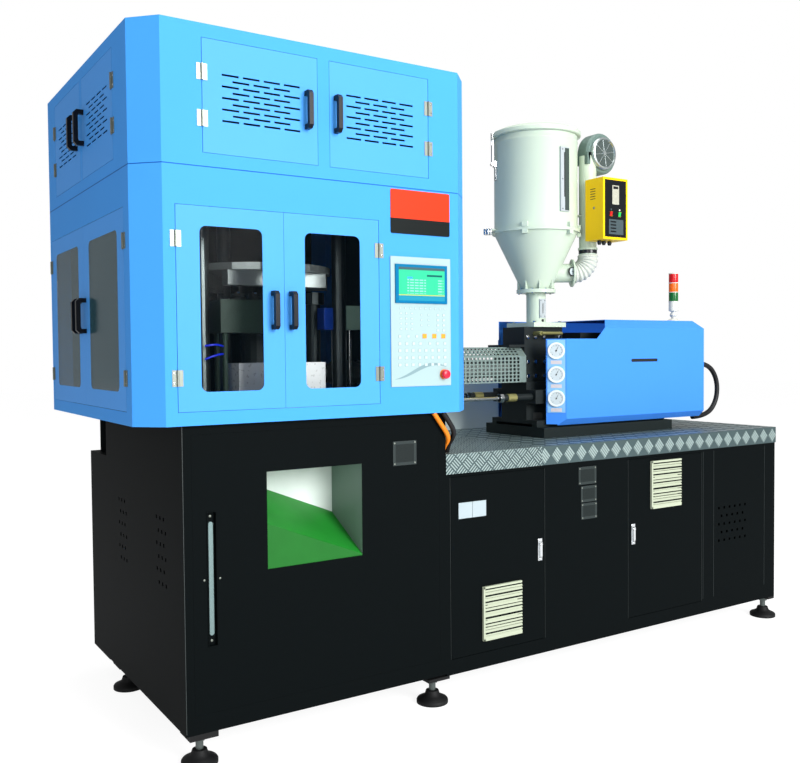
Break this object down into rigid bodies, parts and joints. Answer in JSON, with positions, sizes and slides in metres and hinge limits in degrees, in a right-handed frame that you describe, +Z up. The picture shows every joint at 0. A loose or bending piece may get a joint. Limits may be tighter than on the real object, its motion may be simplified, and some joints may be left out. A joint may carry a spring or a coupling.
{
  "type": "blow moulding machine",
  "caption": "Injection stretch blow moulding machine with a glazed blue press cabinet, a long black base, a retracting injection unit and a hopper dryer.",
  "frame": {"origin": "centre of the front left levelling foot, on the floor", "axes": "+X along the machine towards the injection unit's rear end, +Y from the front to the rear, +Z up"},
  "size_m": [4.021, 1.546, 2.95],
  "materials": {
    "cabinet_blue": "semi-gloss powder coat",
    "base_black": "gloss paint",
    "tread_plate": "rolled tread pattern",
    "bright_steel": "polished",
    "machined_steel": "machined",
    "press_grey": "satin paint",
    "stainless": "satin stainless sheet",
    "dark_steel": "oiled",
    "window_clear": "clear safety glazing",
    "panel_grey": "printed membrane",
    "screen_dark": "display under a clear window",
    "stop_red": "gloss",
    "badge_two_tone": "bare plate",
    "box_yellow": "gloss paint",
    "switch_red": "gloss",
    "switch_green": "gloss",
    "blower_cast": "painted casting",
    "hose_rubber": "smooth rubber",
    "hose_white": "ribbed silicone",
    "foot_zinc": "zinc plate",
    "lamp_stack": "coloured lamps on a pale case",
    "chute_liner": "green and pale paint"
  },
  "bodies": {
    "frame": {"cabinet_lower": "cabinet_blue", "cabinet_upper": "cabinet_blue", "cabinet_hinges": "bright_steel", "operator_panel": "panel_grey", "screen": "screen_dark", "blank_plates": "badge_two_tone", "tower_base": "base_black", "front_panel": "base_black", "take_out_chute": "chute_liner", "rear_box": "base_black", "levelling_feet": "foot_zinc", "injection_base": "base_black", "deck_plates": "tread_plate", "rear_sheet": "stainless", "press_foot": "press_grey", "tie_bars": "bright_steel", "crown": "press_grey", "preform_mould": "press_grey", "blow_bridge": "stainless", "slide_base": "press_grey", "pull_rods": "bright_steel", "service_hoses": "hose_rubber"},
    "front_door_left": {"front_door_left": "cabinet_blue", "front_window_left": "window_clear"},
    "front_door_right": {"front_door_right": "cabinet_blue", "front_window_right": "window_clear"},
    "side_door_rear": {"side_door_rear": "cabinet_blue", "side_window_rear": "window_clear"},
    "side_door_front": {"side_door_front": "cabinet_blue", "side_window_front": "window_clear"},
    "vent_door_left": {"vent_door_left": "cabinet_blue"},
    "vent_door_right": {"vent_door_right": "cabinet_blue"},
    "side_vent_rear": {"side_vent_rear": "cabinet_blue"},
    "side_vent_front": {"side_vent_front": "cabinet_blue"},
    "base_door_left": {"base_door_left": "base_black"},
    "lock_lever_left": {"lock_lever_left": "dark_steel"},
    "base_door_right": {"base_door_right": "base_black"},
    "lock_lever_right": {"lock_lever_right": "dark_steel"},
    "stop_button": {"stop_button": "stop_red"},
    "table": {"index_table": "machined_steel"},
    "platen": {"clamp_platen": "machined_steel"},
    "stretch": {"stretch_head": "machined_steel"},
    "mould_left": {"blow_mould_left": "machined_steel"},
    "mould_right": {"blow_mould_right": "machined_steel"},
    "injection_unit": {"carriage": "press_grey", "feed_throat": "dark_steel", "barrel": "machined_steel", "barrel_guard": "stainless", "drive_cover": "cabinet_blue", "unit_hoses": "hose_white", "hopper": "stainless", "blower": "blower_cast", "control_box": "box_yellow", "stack_light": "lamp_stack"},
    "lid": {"hopper_lid": "stainless"},
    "clip": {"lid_clip": "bright_steel"},
    "red_switch": {"red_switch": "switch_red"},
    "green_switch": {"green_switch": "switch_green"}
  },
  "joints": [
    {"name": "front_door_left_hinge", "type": "hinge", "parent": "frame", "child": "front_door_left", "pos_m": [-0.09575, -0.095, 1.8375], "axis": [0, 0, 1], "range_deg": [-110, 0]},
    {"name": "front_door_right_hinge", "type": "hinge", "parent": "frame", "child": "front_door_right", "pos_m": [0.82175, -0.095, 1.8375], "axis": [0, 0, 1], "range_deg": [0, 110]},
    {"name": "side_door_rear_hinge", "type": "hinge", "parent": "frame", "child": "side_door_rear", "pos_m": [-0.25, 1.37575, 1.8375], "axis": [0, 0, 1], "range_deg": [-110, 0]},
    {"name": "side_door_front_hinge", "type": "hinge", "parent": "frame", "child": "side_door_front", "pos_m": [-0.25, 0.08425, 1.8375], "axis": [0, 0, 1], "range_deg": [0, 110]},
    {"name": "vent_door_left_hinge", "type": "hinge", "parent": "frame", "child": "vent_door_left", "pos_m": [0.02025, -0.095, 2.672], "axis": [0, 0, 1], "range_deg": [-110, 0]},
    {"name": "vent_door_right_hinge", "type": "hinge", "parent": "frame", "child": "vent_door_right", "pos_m": [1.08975, -0.095, 2.672], "axis": [0, 0, 1], "range_deg": [0, 110]},
    {"name": "side_vent_rear_hinge", "type": "hinge", "parent": "frame", "child": "side_vent_rear", "pos_m": [-0.25, 1.25075, 2.672], "axis": [0, 0, 1], "range_deg": [-110, 0]},
    {"name": "side_vent_front_hinge", "type": "hinge", "parent": "frame", "child": "side_vent_front", "pos_m": [-0.25, 0.20925, 2.672], "axis": [0, 0, 1], "range_deg": [0, 110]},
    {"name": "base_door_left_hinge", "type": "hinge", "parent": "frame", "child": "base_door_left", "pos_m": [1.231, -0.052, 0.6365], "axis": [0, 0, 1], "range_deg": [-100, 0]},
    {"name": "lock_lever_left_pivot", "type": "hinge", "parent": "base_door_left", "child": "lock_lever_left", "pos_m": [1.772, -0.0653, 0.7], "axis": [1, 0, 0], "range_deg": [-60, 0]},
    {"name": "base_door_right_hinge", "type": "hinge", "parent": "frame", "child": "base_door_right", "pos_m": [2.993, -0.052, 0.6365], "axis": [0, 0, 1], "range_deg": [0, 100]},
    {"name": "lock_lever_right_pivot", "type": "hinge", "parent": "base_door_right", "child": "lock_lever_right", "pos_m": [2.44, -0.0653, 0.7], "axis": [1, 0, 0], "range_deg": [-60, 0]},
    {"name": "stop_button_press", "type": "slide", "parent": "frame", "child": "stop_button", "axis": [0, 1, 0], "range_m": [0, 0.005], "stiffness_N_per_m": 400},
    {"name": "table_index", "type": "hinge", "parent": "frame", "child": "table", "pos_m": [0.445, 0.3925, 2.035], "axis": [0, 0, 1], "continuous": true},
    {"name": "platen_clamp", "type": "slide", "parent": "frame", "child": "platen", "axis": [0, 0, 1], "range_m": [-0.13, 0]},
    {"name": "stretch_drive", "type": "slide", "parent": "frame", "child": "stretch", "axis": [0, 0, 1], "range_m": [-0.12, 0]},
    {"name": "mould_left_open", "type": "slide", "parent": "frame", "child": "mould_left", "axis": [1, 0, 0], "range_m": [-0.035, 0]},
    {"name": "mould_right_open", "type": "slide", "parent": "frame", "child": "mould_right", "axis": [1, 0, 0], "range_m": [0, 0.035]},
    {"name": "injection_retract", "type": "slide", "parent": "frame", "child": "injection_unit", "axis": [1, 0, 0], "range_m": [0, 0.2]},
    {"name": "lid_hinge", "type": "hinge", "parent": "injection_unit", "child": "lid", "pos_m": [2.245, 0.772, 2.89], "axis": [1, 0, 0], "range_deg": [-100, 0]},
    {"name": "clip_pivot", "type": "hinge", "parent": "injection_unit", "child": "clip", "pos_m": [1.99899, 0.58954, 2.727], "axis": [-0.342, -0.9397, 0], "range_deg": [0, 100]},
    {"name": "red_switch_rock", "type": "hinge", "parent": "injection_unit", "child": "red_switch", "pos_m": [2.494, 0.155, 2.426], "axis": [1, 0, 0], "range_deg": [-9, 0]},
    {"name": "green_switch_rock", "type": "hinge", "parent": "injection_unit", "child": "green_switch", "pos_m": [2.56, 0.155, 2.426], "axis": [1, 0, 0], "range_deg": [-9, 0]}
  ],
  "couplings": [
    {"joint": "mould_right_open", "follows": "mould_left_open", "ratio": -1}
  ]
}
